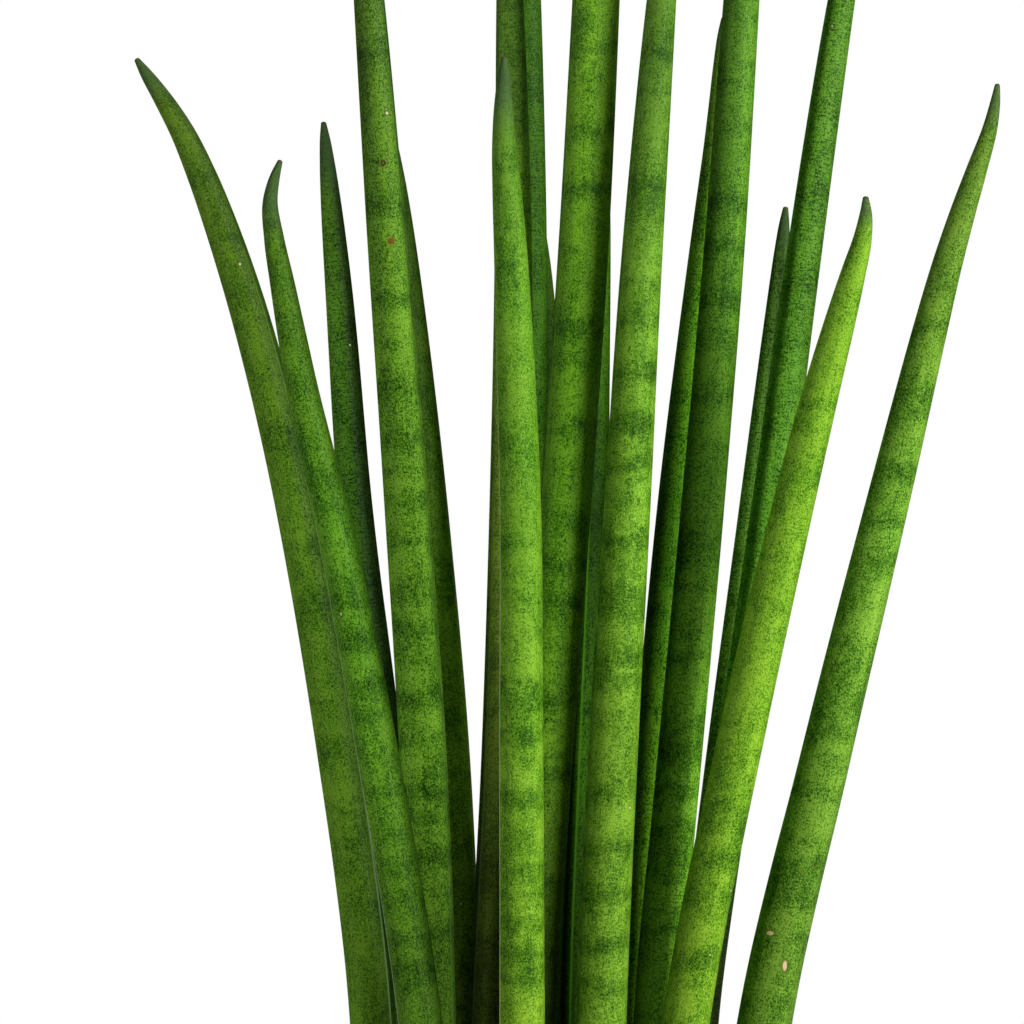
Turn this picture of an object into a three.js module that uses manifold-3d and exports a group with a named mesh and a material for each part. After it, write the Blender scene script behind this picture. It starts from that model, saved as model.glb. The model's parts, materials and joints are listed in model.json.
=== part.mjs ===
// A mikado snake plant in a plain clay pot: eighteen upright, almost cylindrical leaves that rise
// from a creeping underground stem, with the potting mix that carries them and the pot around it.
// Millimetres, +Z up. The origin is the middle of the pot's flat underside, and -Y is the front.
import * as THREE from "three";
import { mergeVertices } from "three/addons/utils/BufferGeometryUtils.js";
import Module from "manifold-3d";

// Driving sizes of the pot: a common 14 cm flower pot.
const POT_TOP_RADIUS = 70;
const POT_HEIGHT = 130;
const POT_FOOT_RADIUS = 46;
const POT_WALL = 6;
const POT_FLOOR = 9;
const RIM_HEIGHT = 26;
const RIM_STEP = 3;
const EDGE = 1.5;
const DRAIN_HOLES = 3;
const DRAIN_RADIUS = 5;
const DRAIN_CIRCLE = 25;
const DRAIN_SIDES = 20;
const ROUND_SIDES = 40;

// Driving sizes of what the pot holds.
const SOIL_EDGE_HEIGHT = 110;
const SOIL_MOUND = 4;
const SHOULDER_REACH = 0.72;
const SHOULDER_RISE = 0.7;
const FOOT_HEIGHT = 90;
const STEM_HEIGHT = 82;
const STEM_RADIUS = 5.5;
const STEM_SIDES = 6;
const STUB_SHARE = 0.75;
const ROOT_RADIUS = 1.5;
const ROOT_SIDES = 3;
const ROOT_DEPTH = 52;
const ROOT_SPREAD = 4;
const ROOT_SWING = 0.5;

// The air left between two pieces, and the size below which a joined solid's slivers are tidied away.
const CLEARANCE = 0.3;
const SLIVER = 0.05;

// How a leaf is shaped: a round body that draws to a blunt point, narrows where it meets the stem,
// and has one shallow channel with two sharp rims down the side that faces its neighbour.
const LEAF_SIDES = 14;
const LEAF_RINGS = 18;
const RING_CROWDING = 1.55;
const TIP_GIRTH = 1;
const TIP_DOME = 0.5;
const TAPER_POWER = 0.75;
const CHANNEL_DEPTH = 0.2;
const CHANNEL_FADE = 40;
const NECK_LENGTH = 22;
const NECK_SHARE = 0.74;

// The tones that tell the leaves apart: sunlit in front, deeper green and bronze behind.
const TONES = {
  bright: 0x9cbf55,
  mid: 0x7fa148,
  deep: 0x5d7c35,
  bronze: 0x6b7448,
};
const LEAF_ROUGHNESS = 0.45;
const TAN = 0xb8935a;
const STEM_ROUGHNESS = 0.7;
const PEAT_BROWN = 0x3b2c20;
const SOIL_ROUGHNESS = 0.95;
const TERRACOTTA = 0xb56a45;
const CLAY_ROUGHNESS = 0.85;

// Each leaf: its greatest girth across, the length over which it draws to its point, the compass
// direction its channel faces (0 = +X, -90 = the front), its tone, where it stands on the stem, and
// the points its middle line passes through up to the tip.
const LEAVES = {
  leaf_01: {
    girth: 11.5, taper: 39, channel: -12, tone: "mid", foot: [-39.5, -12],
    path: [
      [-41.5, -8, 205], [-49, -6, 266], [-59.6, -4, 327], [-68.6, -2, 365],
      [-78, 0, 395], [-87.6, 1, 418], [-98.4, 2, 435],
    ],
  },
  leaf_02: {
    girth: 11.1, taper: 54, channel: 164, tone: "mid", foot: [-20, -20],
    path: [
      [-30.3, -27, 207], [-39.7, -31, 267], [-51, -37, 327], [-56.5, -40, 350],
      [-62, -44, 379], [-64.5, -47, 394], [-64.7, -48.5, 401], [-62.4, -50, 408.4],
    ],
  },
  leaf_03: {
    girth: 9.2, taper: 35, channel: 60, tone: "deep", foot: [-33, 10],
    path: [[-33.5, 18, 205], [-39.2, 22, 266], [-46.5, 25, 327], [-50.5, 29, 378], [-54.5, 32, 421.5]],
  },
  leaf_04: {
    girth: 13.2, taper: 90, channel: -5, tone: "mid", foot: [-28, -5],
    path: [
      [-27.8, -5, 205], [-29.6, -6, 266], [-33.5, -7, 327], [-38, -8, 388],
      [-42.5, -10, 448], [-48, -13, 512],
    ],
  },
  leaf_05: {
    girth: 10.6, taper: 36, channel: 150, tone: "deep", foot: [-21.5, 18],
    path: [[-21.5, 15, 205], [-23.8, 16, 266], [-28.8, 17, 327], [-34.8, 19, 388.5], [-38, 20, 419]],
  },
  leaf_06: {
    girth: 12, taper: 70, channel: 190, tone: "bronze", foot: [-17, 2],
    path: [
      [-13.8, 0, 205], [-11, -1, 266], [-9.3, -1, 327], [-8.6, 0, 388],
      [-9.4, 2, 449], [-10.5, 3, 494],
    ],
  },
  leaf_07: {
    girth: 10.6, taper: 54, channel: 175, tone: "deep", foot: [-5, 14],
    path: [
      [-4.8, 16, 205], [-4.8, 16, 266], [-4.8, 16, 327], [-4.8, 16, 388],
      [-5.3, 16, 450], [-6, 17, 503],
    ],
  },
  leaf_08: {
    girth: 9.6, taper: 30, channel: -10, tone: "deep", foot: [8, 23],
    path: [[5, 28, 205], [3, 29, 266], [0.3, 30, 327], [-1.6, 30, 381], [-3.8, 31, 406]],
  },
  leaf_09: {
    girth: 11.2, taper: 38, channel: 172, tone: "bright", foot: [-6.5, -24],
    path: [
      [-6.6, -30, 207], [-6.8, -33, 267], [-7, -37, 327], [-9.2, -42, 386],
      [-10.8, -46, 416], [-10.6, -48, 432.5],
    ],
  },
  leaf_10: {
    girth: 13, taper: 41, channel: 184, tone: "mid", foot: [-6.5, -7],
    path: [
      [-4.7, -8, 205], [-1, -9, 266], [3.5, -10, 327], [7.7, -12, 387],
      [10.8, -14, 448], [13.5, -17, 510], [16.5, -20, 566],
    ],
  },
  leaf_11: {
    girth: 10.2, taper: 34, channel: -121, tone: "mid", foot: [5, 4],
    path: [[5, 6, 205], [7.2, 7, 266], [9.8, 8, 327], [11, 8, 365], [12.2, 9, 388], [13.6, 9, 406]],
  },
  leaf_12: {
    girth: 13.6, taper: 80, channel: 186, tone: "mid", foot: [8, -13],
    path: [
      [11.9, -16, 206], [14.6, -18, 266], [18.1, -20, 327], [21.6, -23, 387],
      [26.2, -26, 447], [30.5, -29, 494],
    ],
  },
  leaf_13: {
    girth: 10.2, taper: 36, channel: 75, tone: "bright", foot: [20, 16],
    path: [
      [23.2, 17, 205], [25.5, 17, 266], [30.7, 18, 327], [37.7, 19, 388.5],
      [40.9, 20, 419], [42.2, 20, 446],
    ],
  },
  leaf_14: {
    girth: 11.2, taper: 66, channel: 160, tone: "mid", foot: [22, 0],
    path: [
      [25.3, -3, 205], [30.7, -4, 266], [36.3, -5, 327], [41.4, -6, 388],
      [45.5, -8, 448], [49.4, -10, 505], [52.5, -12, 550],
    ],
  },
  leaf_15: {
    girth: 8.8, taper: 33, channel: -86, tone: "deep", foot: [30.5, 25],
    path: [[35.2, 25, 205], [41.9, 27, 265], [49.8, 30, 327], [55.2, 33, 374], [57.6, 34, 401]],
  },
  leaf_16: {
    girth: 10.2, taper: 61, channel: -146, tone: "deep", foot: [31, 10],
    path: [
      [35.7, 8, 205], [44.3, 8, 266], [52.9, 8, 327], [61, 9, 388],
      [70, 10, 449], [79.5, 11, 503],
    ],
  },
  leaf_17: {
    girth: 11.6, taper: 36, channel: 100, tone: "bright", foot: [22, -19],
    path: [
      [32.1, -18, 206], [43.4, -24, 266.5], [56.7, -30, 327], [63.9, -35, 357],
      [71.7, -40, 386.5], [73.4, -42, 394], [73.4, -43, 400.3],
    ],
  },
  leaf_18: {
    girth: 14.8, taper: 90, channel: 155, tone: "bright", foot: [38, -7],
    path: [
      [51.2, -2, 205], [65, -5, 266], [79.7, -8, 327], [94.7, -12, 387.4],
      [101.7, -14, 410], [104.7, -15, 420], [105.8, -16, 428],
    ],
  },
};

// Which leaves stand in a row on one branch of the stem.
const STEM_RUNS = [
  ["leaf_01", "leaf_04", "leaf_06", "leaf_10", "leaf_12", "leaf_17", "leaf_18"],
  ["leaf_02", "leaf_04"],
  ["leaf_03", "leaf_04"],
  ["leaf_05", "leaf_06"],
  ["leaf_06", "leaf_07", "leaf_08"],
  ["leaf_09", "leaf_10"],
  ["leaf_10", "leaf_11"],
  ["leaf_17", "leaf_14", "leaf_13", "leaf_15"],
  ["leaf_14", "leaf_16"],
];

// The leaves under which a stout root goes down into the mix.
const ROOTED = ["leaf_01", "leaf_02", "leaf_05", "leaf_08", "leaf_10", "leaf_14", "leaf_15", "leaf_18"];

const UP = new THREE.Vector3(0, 0, 1);
const FRONT = new THREE.Vector3(0, -1, 0);

const wasm = await Module();
wasm.setup();

// A geometry as one closed surface of shared vertices, without the slivers a lathe leaves on its axis.
function closed(geometry) {
  const bare = geometry.clone();
  bare.deleteAttribute("normal");
  bare.deleteAttribute("uv");
  const merged = mergeVertices(bare, 1e-4);
  const from = merged.index.array;
  const kept = [];
  for (let i = 0; i < from.length; i += 3) {
    const [a, b, c] = [from[i], from[i + 1], from[i + 2]];
    if (a !== b && b !== c && c !== a) kept.push(a, b, c);
  }
  merged.setIndex(kept);
  return merged;
}

function toSolid(geometry) {
  const shape = closed(geometry);
  return new wasm.Manifold(
    new wasm.Mesh({
      numProp: 3,
      vertProperties: shape.attributes.position.array,
      triVerts: new Uint32Array(shape.index.array),
    }),
  );
}

function toGeometry(solid) {
  const mesh = solid.getMesh();
  const geometry = new THREE.BufferGeometry();
  geometry.setAttribute("position", new THREE.BufferAttribute(mesh.vertProperties, 3));
  geometry.setIndex(new THREE.BufferAttribute(mesh.triVerts, 1));
  return geometry;
}

function piece(name, geometry, color, roughness) {
  const shown = geometry.toNonIndexed();
  shown.computeVertexNormals();
  const material = new THREE.MeshStandardMaterial({ color, roughness, metalness: 0 });
  const mesh = new THREE.Mesh(shown, material);
  mesh.name = name;
  return mesh;
}

// A profile of [radius, height] pairs turned about the Z axis.
function turned(profile) {
  const points = profile.map(([radius, height]) => new THREE.Vector2(radius, height));
  return new THREE.LatheGeometry(points, ROUND_SIDES).rotateX(Math.PI / 2);
}

// Bends a shape that was turned about the Y axis along a curve: its Y becomes the way along the curve,
// straight on past the curve's ends, and its Z points to the towards side.
function bend(geometry, curve, towards) {
  const length = curve.getLength();
  const position = geometry.attributes.position;
  const vertex = new THREE.Vector3();
  for (let i = 0; i < position.count; i++) {
    vertex.fromBufferAttribute(position, i);
    const share = THREE.MathUtils.clamp(vertex.y / length, 0, 1);
    const along = curve.getTangentAt(share);
    const out = towards.clone().addScaledVector(along, -towards.dot(along)).normalize();
    const side = new THREE.Vector3().crossVectors(along, out);
    const place = curve.getPointAt(share);
    place.addScaledVector(along, vertex.y - share * length);
    place.addScaledVector(out, vertex.z).addScaledVector(side, vertex.x);
    position.setXYZ(i, place.x, place.y, place.z);
  }
  return geometry;
}

// A smooth line through the points.
function smoothLine(points) {
  return new THREE.CatmullRomCurve3(points, false, "centripetal");
}

// A bar along a smooth line through the points, from which it stands off by its radius. With extra
// above zero it is that much fatter, on its flats too, and that much longer at both ends.
function bar(points, towards, radius, sides, steps, extra = 0) {
  const curve = smoothLine(points);
  const length = curve.getLength();
  const corner = radius + extra / Math.cos(Math.PI / sides);
  const profile = [];
  for (let i = 0; i <= steps; i++) profile.push(new THREE.Vector2(corner, (i / steps) * length));
  profile[0].y = -extra;
  profile[steps].y = length + extra;
  profile.unshift(new THREE.Vector2(0, -extra));
  profile.push(new THREE.Vector2(0, length + extra));
  return bend(closed(new THREE.LatheGeometry(profile, sides)), curve, towards);
}

// The leaf's middle line, from its foot on the stem to its tip.
function middleLine(leaf) {
  const foot = [...leaf.foot, FOOT_HEIGHT];
  return smoothLine([foot, ...leaf.path].map((point) => new THREE.Vector3(...point)));
}

// The leaf's girth at a distance from its tip, and narrower again close above its foot.
function girthAt(leaf, fromTip, fromFoot) {
  const full = 1 - Math.exp(-((fromTip / leaf.taper) ** TAPER_POWER));
  const neck = THREE.MathUtils.lerp(NECK_SHARE, 1, THREE.MathUtils.smoothstep(fromFoot, 0, NECK_LENGTH));
  return (TIP_GIRTH + (leaf.girth - TIP_GIRTH) * full) * neck;
}

// Heights along the leaf at which it has a ring: two in the neck, then closer and closer to the tip.
function ringHeights(length) {
  const heights = [0, NECK_LENGTH / 2];
  const run = length - NECK_LENGTH;
  for (let i = 0; i < LEAF_RINGS; i++) {
    heights.push(length - run * (1 - i / LEAF_RINGS) ** RING_CROWDING);
  }
  heights.push(length - TIP_DOME);
  return heights;
}

// A leaf as a lathed spindle that is given its channel and then bent along its middle line.
// With extra above zero it is the same shape that much fatter and longer at the foot.
function leafGeometry(leaf, extra = 0) {
  const line = middleLine(leaf);
  const length = line.getLength();
  const heights = ringHeights(length);
  const profile = heights.map((height) => {
    return new THREE.Vector2(girthAt(leaf, length - height, height) / 2 + extra, height);
  });
  profile[0].y = -extra;
  profile.unshift(new THREE.Vector2(0, -extra));
  profile.push(new THREE.Vector2(0, length));
  const geometry = closed(new THREE.LatheGeometry(profile, LEAF_SIDES));

  const position = geometry.attributes.position;
  for (let i = 0; i < position.count; i++) {
    const [x, height, z] = [position.getX(i), position.getY(i), position.getZ(i)];
    const inChannel = Math.abs(Math.atan2(x, z)) < Math.PI / LEAF_SIDES;
    const depth = CHANNEL_DEPTH * (1 - Math.exp(-(length - height) / CHANNEL_FADE));
    if (inChannel) position.setZ(i, z * (1 - depth));
  }
  const facing = THREE.MathUtils.degToRad(leaf.channel);
  return bend(geometry, line, new THREE.Vector3(Math.cos(facing), Math.sin(facing), 0));
}

// The creeping stem: a branching bar below the leaves, with a short stub up to each leaf's foot and
// stout roots going down. With extra above zero it is that much fatter all round.
function stemSolid(extra = 0) {
  const standing = (name) => new THREE.Vector3(...LEAVES[name].foot, STEM_HEIGHT);
  const bars = STEM_RUNS.map((run) => {
    return bar(run.map(standing), UP, STEM_RADIUS, STEM_SIDES, run.length, extra);
  });
  for (const leaf of Object.values(LEAVES)) {
    const line = middleLine(leaf);
    const upwards = line.getTangentAt(0);
    const top = line.getPointAt(0).addScaledVector(upwards, -CLEARANCE);
    const base = top.clone().addScaledVector(upwards, STEM_HEIGHT - FOOT_HEIGHT);
    const radius = STUB_SHARE * NECK_SHARE * (leaf.girth / 2);
    bars.push(bar([base, top], FRONT, radius, STEM_SIDES, 1, extra));
  }
  ROOTED.forEach((name, i) => {
    const start = standing(name);
    const angle = Math.atan2(start.y, start.x) + (i % 2 ? ROOT_SWING : -ROOT_SWING);
    const outwards = new THREE.Vector3(Math.cos(angle), Math.sin(angle), 0);
    const halfway = start.clone().addScaledVector(outwards, ROOT_SPREAD);
    halfway.z -= ROOT_DEPTH / 2;
    const end = start.clone().addScaledVector(outwards, -ROOT_SPREAD / 2);
    end.z -= ROOT_DEPTH;
    bars.push(bar([start, halfway, end], FRONT, ROOT_RADIUS, ROOT_SIDES, 2, extra));
  });
  return bars.map(toSolid).reduce((whole, next) => whole.add(next)).simplify(SLIVER);
}

// Inner radius of the pot at a height: its wall slopes outwards to the top.
function innerRadius(height) {
  const low = POT_FOOT_RADIUS - POT_WALL;
  const high = POT_TOP_RADIUS - RIM_STEP - POT_WALL;
  return THREE.MathUtils.mapLinear(height, 0, POT_HEIGHT, low, high);
}

// The pot: a tapering wall with a thick rim, and drainage holes round the middle of its floor.
function potSolid() {
  const shoulder = POT_HEIGHT - RIM_HEIGHT;
  const underRim = innerRadius(shoulder) + POT_WALL;
  const rimLow = underRim + RIM_STEP;
  let pot = toSolid(
    turned([
      [0, 0],
      [POT_FOOT_RADIUS - EDGE, 0],
      [POT_FOOT_RADIUS, EDGE],
      [underRim, shoulder],
      [rimLow - EDGE / 2, shoulder],
      [rimLow, shoulder + EDGE],
      [POT_TOP_RADIUS, POT_HEIGHT - 2 * EDGE],
      [POT_TOP_RADIUS - EDGE, POT_HEIGHT],
      [innerRadius(POT_HEIGHT) + EDGE, POT_HEIGHT],
      [innerRadius(POT_HEIGHT), POT_HEIGHT - EDGE],
      [innerRadius(POT_FLOOR), POT_FLOOR],
      [0, POT_FLOOR],
    ]),
  );
  for (let i = 0; i < DRAIN_HOLES; i++) {
    const angle = (i / DRAIN_HOLES) * 2 * Math.PI + Math.PI / 2;
    const drill = new THREE.CylinderGeometry(DRAIN_RADIUS, DRAIN_RADIUS, 3 * POT_FLOOR, DRAIN_SIDES);
    drill.rotateX(Math.PI / 2);
    drill.translate(DRAIN_CIRCLE * Math.cos(angle), DRAIN_CIRCLE * Math.sin(angle), POT_FLOOR / 2);
    pot = pot.subtract(toSolid(drill));
  }
  return pot;
}

// The mix: a filling with a low mound, less a plain hole for each leaf and the room of the stem.
function soilSolid() {
  const bottom = POT_FLOOR + CLEARANCE;
  const filling = toSolid(
    turned([
      [0, bottom],
      [innerRadius(bottom) - CLEARANCE, bottom],
      [innerRadius(SOIL_EDGE_HEIGHT) - CLEARANCE, SOIL_EDGE_HEIGHT],
      [SHOULDER_REACH * innerRadius(SOIL_EDGE_HEIGHT), SOIL_EDGE_HEIGHT + SHOULDER_RISE * SOIL_MOUND],
      [0, SOIL_EDGE_HEIGHT + SOIL_MOUND],
    ]),
  );
  const holes = Object.values(LEAVES).map((leaf) => toSolid(leafGeometry(leaf, CLEARANCE)));
  const hollow = holes.reduce((whole, next) => whole.add(next), stemSolid(CLEARANCE));
  return filling.subtract(hollow).simplify(SLIVER);
}

const plant = new THREE.Group();
for (const [name, leaf] of Object.entries(LEAVES)) {
  plant.add(piece(name, leafGeometry(leaf), TONES[leaf.tone], LEAF_ROUGHNESS));
}
plant.add(piece("rhizome", toGeometry(stemSolid()), TAN, STEM_ROUGHNESS));

const potted = new THREE.Group();
potted.add(plant);
potted.add(piece("soil", toGeometry(soilSolid()), PEAT_BROWN, SOIL_ROUGHNESS));
potted.add(piece("pot", toGeometry(potSolid()), TERRACOTTA, CLAY_ROUGHNESS));

export default potted;
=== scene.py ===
# %% [markdown]
# # A mikado snake plant in a clay pot
#
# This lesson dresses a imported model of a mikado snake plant: eighteen upright, almost round
# leaves that rise from potting mix in a plain clay pot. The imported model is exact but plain, with
# flat-sided leaves in one colour each. Here every leaf becomes a smooth rod of living skin, the
# pot gets its fired clay and the soil its crumbs, and nothing leaves the place that the model
# gives it.

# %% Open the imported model
import json
import math
import random
from collections import namedtuple

import bmesh
import bpy
import numpy as np
from mathutils import Euler, Matrix, Vector, noise
from mathutils.bvhtree import BVHTree


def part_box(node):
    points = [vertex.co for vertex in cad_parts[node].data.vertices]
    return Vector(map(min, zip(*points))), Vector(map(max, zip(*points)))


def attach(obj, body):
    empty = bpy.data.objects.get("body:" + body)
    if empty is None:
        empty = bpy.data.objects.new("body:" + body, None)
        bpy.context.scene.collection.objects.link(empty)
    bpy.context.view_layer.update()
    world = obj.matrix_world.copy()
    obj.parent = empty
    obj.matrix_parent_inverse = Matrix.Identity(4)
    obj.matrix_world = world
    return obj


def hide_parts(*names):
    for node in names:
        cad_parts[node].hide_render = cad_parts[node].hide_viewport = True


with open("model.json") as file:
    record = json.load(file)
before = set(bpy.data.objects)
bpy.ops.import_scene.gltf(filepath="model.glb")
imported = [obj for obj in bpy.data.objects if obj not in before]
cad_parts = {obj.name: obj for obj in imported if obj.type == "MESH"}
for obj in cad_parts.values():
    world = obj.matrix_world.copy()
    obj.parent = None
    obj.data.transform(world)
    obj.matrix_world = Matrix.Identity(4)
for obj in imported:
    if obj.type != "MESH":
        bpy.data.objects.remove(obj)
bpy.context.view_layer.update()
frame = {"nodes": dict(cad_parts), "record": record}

MM = 0.001
BODY = "root"
leaf_names = sorted(name for name in frame["nodes"] if name.startswith("leaf_"))
slots = {row["node"]: row["material_slot"] for row in frame["record"]["subparts"]}
print("the frame holds", len(frame["nodes"]), "pieces,", len(leaf_names), "of them leaves")

# %% [markdown]
# ## Where the camera stands
#
# The photograph looks at the leaves from the front, level and from well back, so upright lines
# stay upright. A camera that stands far away with a long lens gives the same flat view. Its lens
# follows from the distance and from how many pixels a metre of the plant covers at that distance.

# %% Place the camera
PICTURE_PIXELS = 1024
PIXELS_PER_METRE = 4200
SENSOR = 36
EYE = Vector((-0.0088, -1.8, 0.3269))

camera_data = bpy.data.cameras.new("front camera")
camera_data.sensor_width = SENSOR
camera_data.lens = SENSOR * -EYE.y * PIXELS_PER_METRE / PICTURE_PIXELS
camera_data.clip_end = 50
camera = bpy.data.objects.new("front camera", camera_data)
camera.location = EYE
camera.rotation_euler = (math.pi / 2, 0, 0)
bpy.context.scene.collection.objects.link(camera)
bpy.context.scene.camera = camera
print("the lens is", round(camera_data.lens, 1), "mm long")


def sight_line(column, row):
    """The direction from the camera through a pixel of the picture, counted from its top left."""
    half = PICTURE_PIXELS / 2
    across = (column - half) / PIXELS_PER_METRE
    up = (half - row) / PIXELS_PER_METRE
    return Vector((across, -EYE.y, up)).normalized()


# %% [markdown]
# ## Studio light
#
# A large softbox stands to the front right, and the leaves' right sides are the bright ones. A
# weaker one fills from the front left, and another from behind keeps the far side readable. The
# surroundings give little light of their own, so the gaps between the leaves fall dark, yet the
# camera sees them as plain white.

# %% Softboxes and white surroundings
AIM = Vector((0, 0, 0.3))


def softbox(name, azimuth, elevation, distance, size, watts):
    """A square lamp that faces the plant. Azimuth 0 is behind the camera, and 90 to the right."""
    lamp_data = bpy.data.lights.new(name, "AREA")
    lamp_data.size = size
    lamp_data.energy = watts
    turn = math.radians(azimuth - 90)
    rise = math.radians(elevation)
    way = Vector((math.cos(rise) * math.cos(turn), math.cos(rise) * math.sin(turn), math.sin(rise)))
    lamp = bpy.data.objects.new(name, lamp_data)
    lamp.location = AIM + distance * way
    lamp.rotation_euler = way.to_track_quat("Z", "Y").to_euler()
    bpy.context.scene.collection.objects.link(lamp)
    print("the", name, "gives", watts, "watts from", distance, "metres")


softbox("key softbox", azimuth=48, elevation=22, distance=1.5, size=0.6, watts=23)
softbox("fill softbox", azimuth=-64, elevation=12, distance=1.5, size=0.8, watts=4.6)
softbox("back softbox", azimuth=170, elevation=48, distance=1.8, size=1.0, watts=11)

SURROUNDINGS = 0.02
world = bpy.data.worlds.new("white studio")
world.use_nodes = True
bpy.context.scene.world = world
world_nodes = world.node_tree.nodes
seen_directly = world_nodes.new("ShaderNodeLightPath")
white_to_camera = world_nodes.new("ShaderNodeMapRange")
white_to_camera.inputs["To Min"].default_value = SURROUNDINGS
world.node_tree.links.new(seen_directly.outputs["Is Camera Ray"], white_to_camera.inputs["Value"])
world_background = world_nodes["Background"]
world_background.inputs["Color"].default_value = (1, 1, 1, 1)
world.node_tree.links.new(white_to_camera.outputs["Result"], world_background.inputs["Strength"])
bpy.context.scene.view_settings.view_transform = "Standard"

# %% [markdown]
# ## Writing materials as sums
#
# A finish on a living leaf is a sum of many layers: mottling, cross bands, speckles, ripples. It
# reads best as arithmetic. The class below wraps one output of a shader node, and adding or
# multiplying two of them adds the Math node that does so. Every other kind of node comes from one
# method, which is told the node's type, its settings and what goes into its sockets.


# %% A socket that can be added and multiplied
class Signal:
    """One output of a shader node, in a finish's node tree."""

    def __init__(self, finish, socket):
        self.finish = finish
        self.socket = socket

    def combine(self, operation, first, second):
        return self.finish.add("ShaderNodeMath", {"operation": operation}, {0: first, 1: second})

    def __add__(self, other):
        return self.combine("ADD", self, other)

    def __sub__(self, other):
        return self.combine("SUBTRACT", self, other)

    def __rsub__(self, other):
        return self.combine("SUBTRACT", other, self)

    def __mul__(self, other):
        return self.combine("MULTIPLY", self, other)

    __radd__ = __add__
    __rmul__ = __mul__

    def most(self, other):
        """The larger of the two."""
        return self.combine("MAXIMUM", self, other)

    def rise(self, low, high):
        """0 below low, 1 above high, and a soft step between; low above high turns it round."""
        settings = {"interpolation_type": "SMOOTHSTEP"}
        if low < high:
            return self.finish.add("ShaderNodeMapRange", settings, {0: self, 1: low, 2: high})
        return 1 - self.finish.add("ShaderNodeMapRange", settings, {0: self, 1: high, 2: low})


class Finish:
    """A material that is built node by node."""

    def __init__(self, name):
        self.material = bpy.data.materials.new(name)
        self.material.use_nodes = True
        self.tree = self.material.node_tree
        self.tree.nodes.clear()

    def add(self, kind, settings=None, sockets=None, output=0):
        """A node of any kind: its settings first, then the values or links of its sockets."""
        made = self.tree.nodes.new(kind)
        for setting, value in (settings or {}).items():
            setattr(made, setting, value)
        for key, value in (sockets or {}).items():
            if isinstance(value, Signal):
                self.tree.links.new(value.socket, made.inputs[key])
            else:
                made.inputs[key].default_value = value
        return Signal(self, made.outputs[output])

    def here(self):
        """The place on the piece, in the piece's own metres."""
        return self.add("ShaderNodeTexCoord", None, None, 3)

    def height_of(self, place):
        return self.add("ShaderNodeSeparateXYZ", None, {0: place}, 2)

    def stored(self, name, output=2):
        """What the mesh stores at each point: output 2 reads it as a number, and 1 as a vector."""
        return self.add("ShaderNodeAttribute", {"attribute_name": name}, None, output)

    def mix(self, under, over, share):
        """One colour over another, by a share from 0 to 1."""
        settings = {"data_type": "RGBA", "blend_type": "MIX"}
        return self.add("ShaderNodeMix", settings, {0: share, 6: under, 7: over}, 2)

    def stretch(self, place, factors):
        return self.add("ShaderNodeVectorMath", {"operation": "MULTIPLY"}, {0: place, 1: factors})

    def cloud(self, place, size, detail=2.0, rough=0.5, warp=0.0):
        """Soft noise from 0 to 1, with lumps of about that size in the place's own units."""
        sockets = {"Vector": place, "Scale": 1 / size, "Detail": detail, "Roughness": rough}
        return self.add("ShaderNodeTexNoise", None, {**sockets, "Distortion": warp})

    def bump(self, height, depth, under=None):
        """A relief of that depth in metres, over the relief that is there already."""
        sockets = {"Height": height, "Distance": depth, "Strength": 1.0}
        if under:
            sockets["Normal"] = under
        return self.add("ShaderNodeBump", None, sockets)

    def close(self, colour, rough, normal, **constants):
        """The surface shader. What varies comes as signals, and the rest as its own constants."""
        sockets = {"Base Color": colour, "Roughness": rough, "Normal": normal, **constants}
        shader = self.add("ShaderNodeBsdfPrincipled", None, sockets)
        output = self.tree.nodes.new("ShaderNodeOutputMaterial")
        self.tree.links.new(shader.socket, output.inputs["Surface"])
        return self.material


# %% Colours as a screen shows them
def paint(red, green, blue):
    """A colour as a screen shows it, from 0 to 255, in the linear values that shaders take."""

    def linear(level):
        share = level / 255
        return share / 12.92 if share < 0.04045 else ((share + 0.055) / 1.055) ** 2.4

    return (linear(red), linear(green), linear(blue), 1)


print("middle grey on a screen is", round(paint(128, 128, 128)[0], 3), "of white in linear light")


# %% [markdown]
# ## Reading a leaf's solid
#
# Each leaf's solid is a stack of rings of fourteen corners, closed by one corner at the foot and
# one at the tip. A walk from the foot, one edge at a time, meets the rings in order. One corner of
# each ring is pushed in: that is the channel, the furrow that runs up one side of every leaf.

# %% Walk up a leaf's rings
CAD_SIDES = 14


def rings_of(node):
    """The rings of corners of a leaf's solid, from the foot to the single corner at the tip."""
    solid = bmesh.new()
    solid.from_mesh(frame["nodes"][node].data)
    bmesh.ops.remove_doubles(solid, verts=solid.verts, dist=0.01 * MM)
    solid.verts.index_update()
    ends = [corner for corner in solid.verts if len(corner.link_edges) == CAD_SIDES]
    layer = [min(ends, key=lambda corner: corner.co.z)]
    seen = set(layer)
    rings = []
    while layer:
        rings.append(np.array([corner.co for corner in layer]))
        ahead = {edge.other_vert(corner) for corner in layer for edge in corner.link_edges} - seen
        seen |= ahead
        layer = sorted(ahead, key=lambda corner: corner.index)
    solid.free()
    return rings[1:]


def measure_ring(ring):
    """A ring's middle, its radius, and the way from the middle to its most sunken corner."""
    rough_middle = ring.mean(axis=0)
    sunken = ring[np.linalg.norm(ring - rough_middle, axis=1).argmin()]
    facing = ring[np.linalg.norm(ring - sunken, axis=1).argmax()]
    # Without the sunken corner and the one that faces it, the mean of the rest is the true middle.
    kept = [corner for corner in ring if np.any(corner != sunken) and np.any(corner != facing)]
    middle = np.mean(kept, axis=0)
    radius = np.linalg.norm(kept - middle, axis=1).mean()
    return middle, radius, sunken - middle


print(leaf_names[0], "is a stack of", len(rings_of(leaf_names[0])), "rings")


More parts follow.
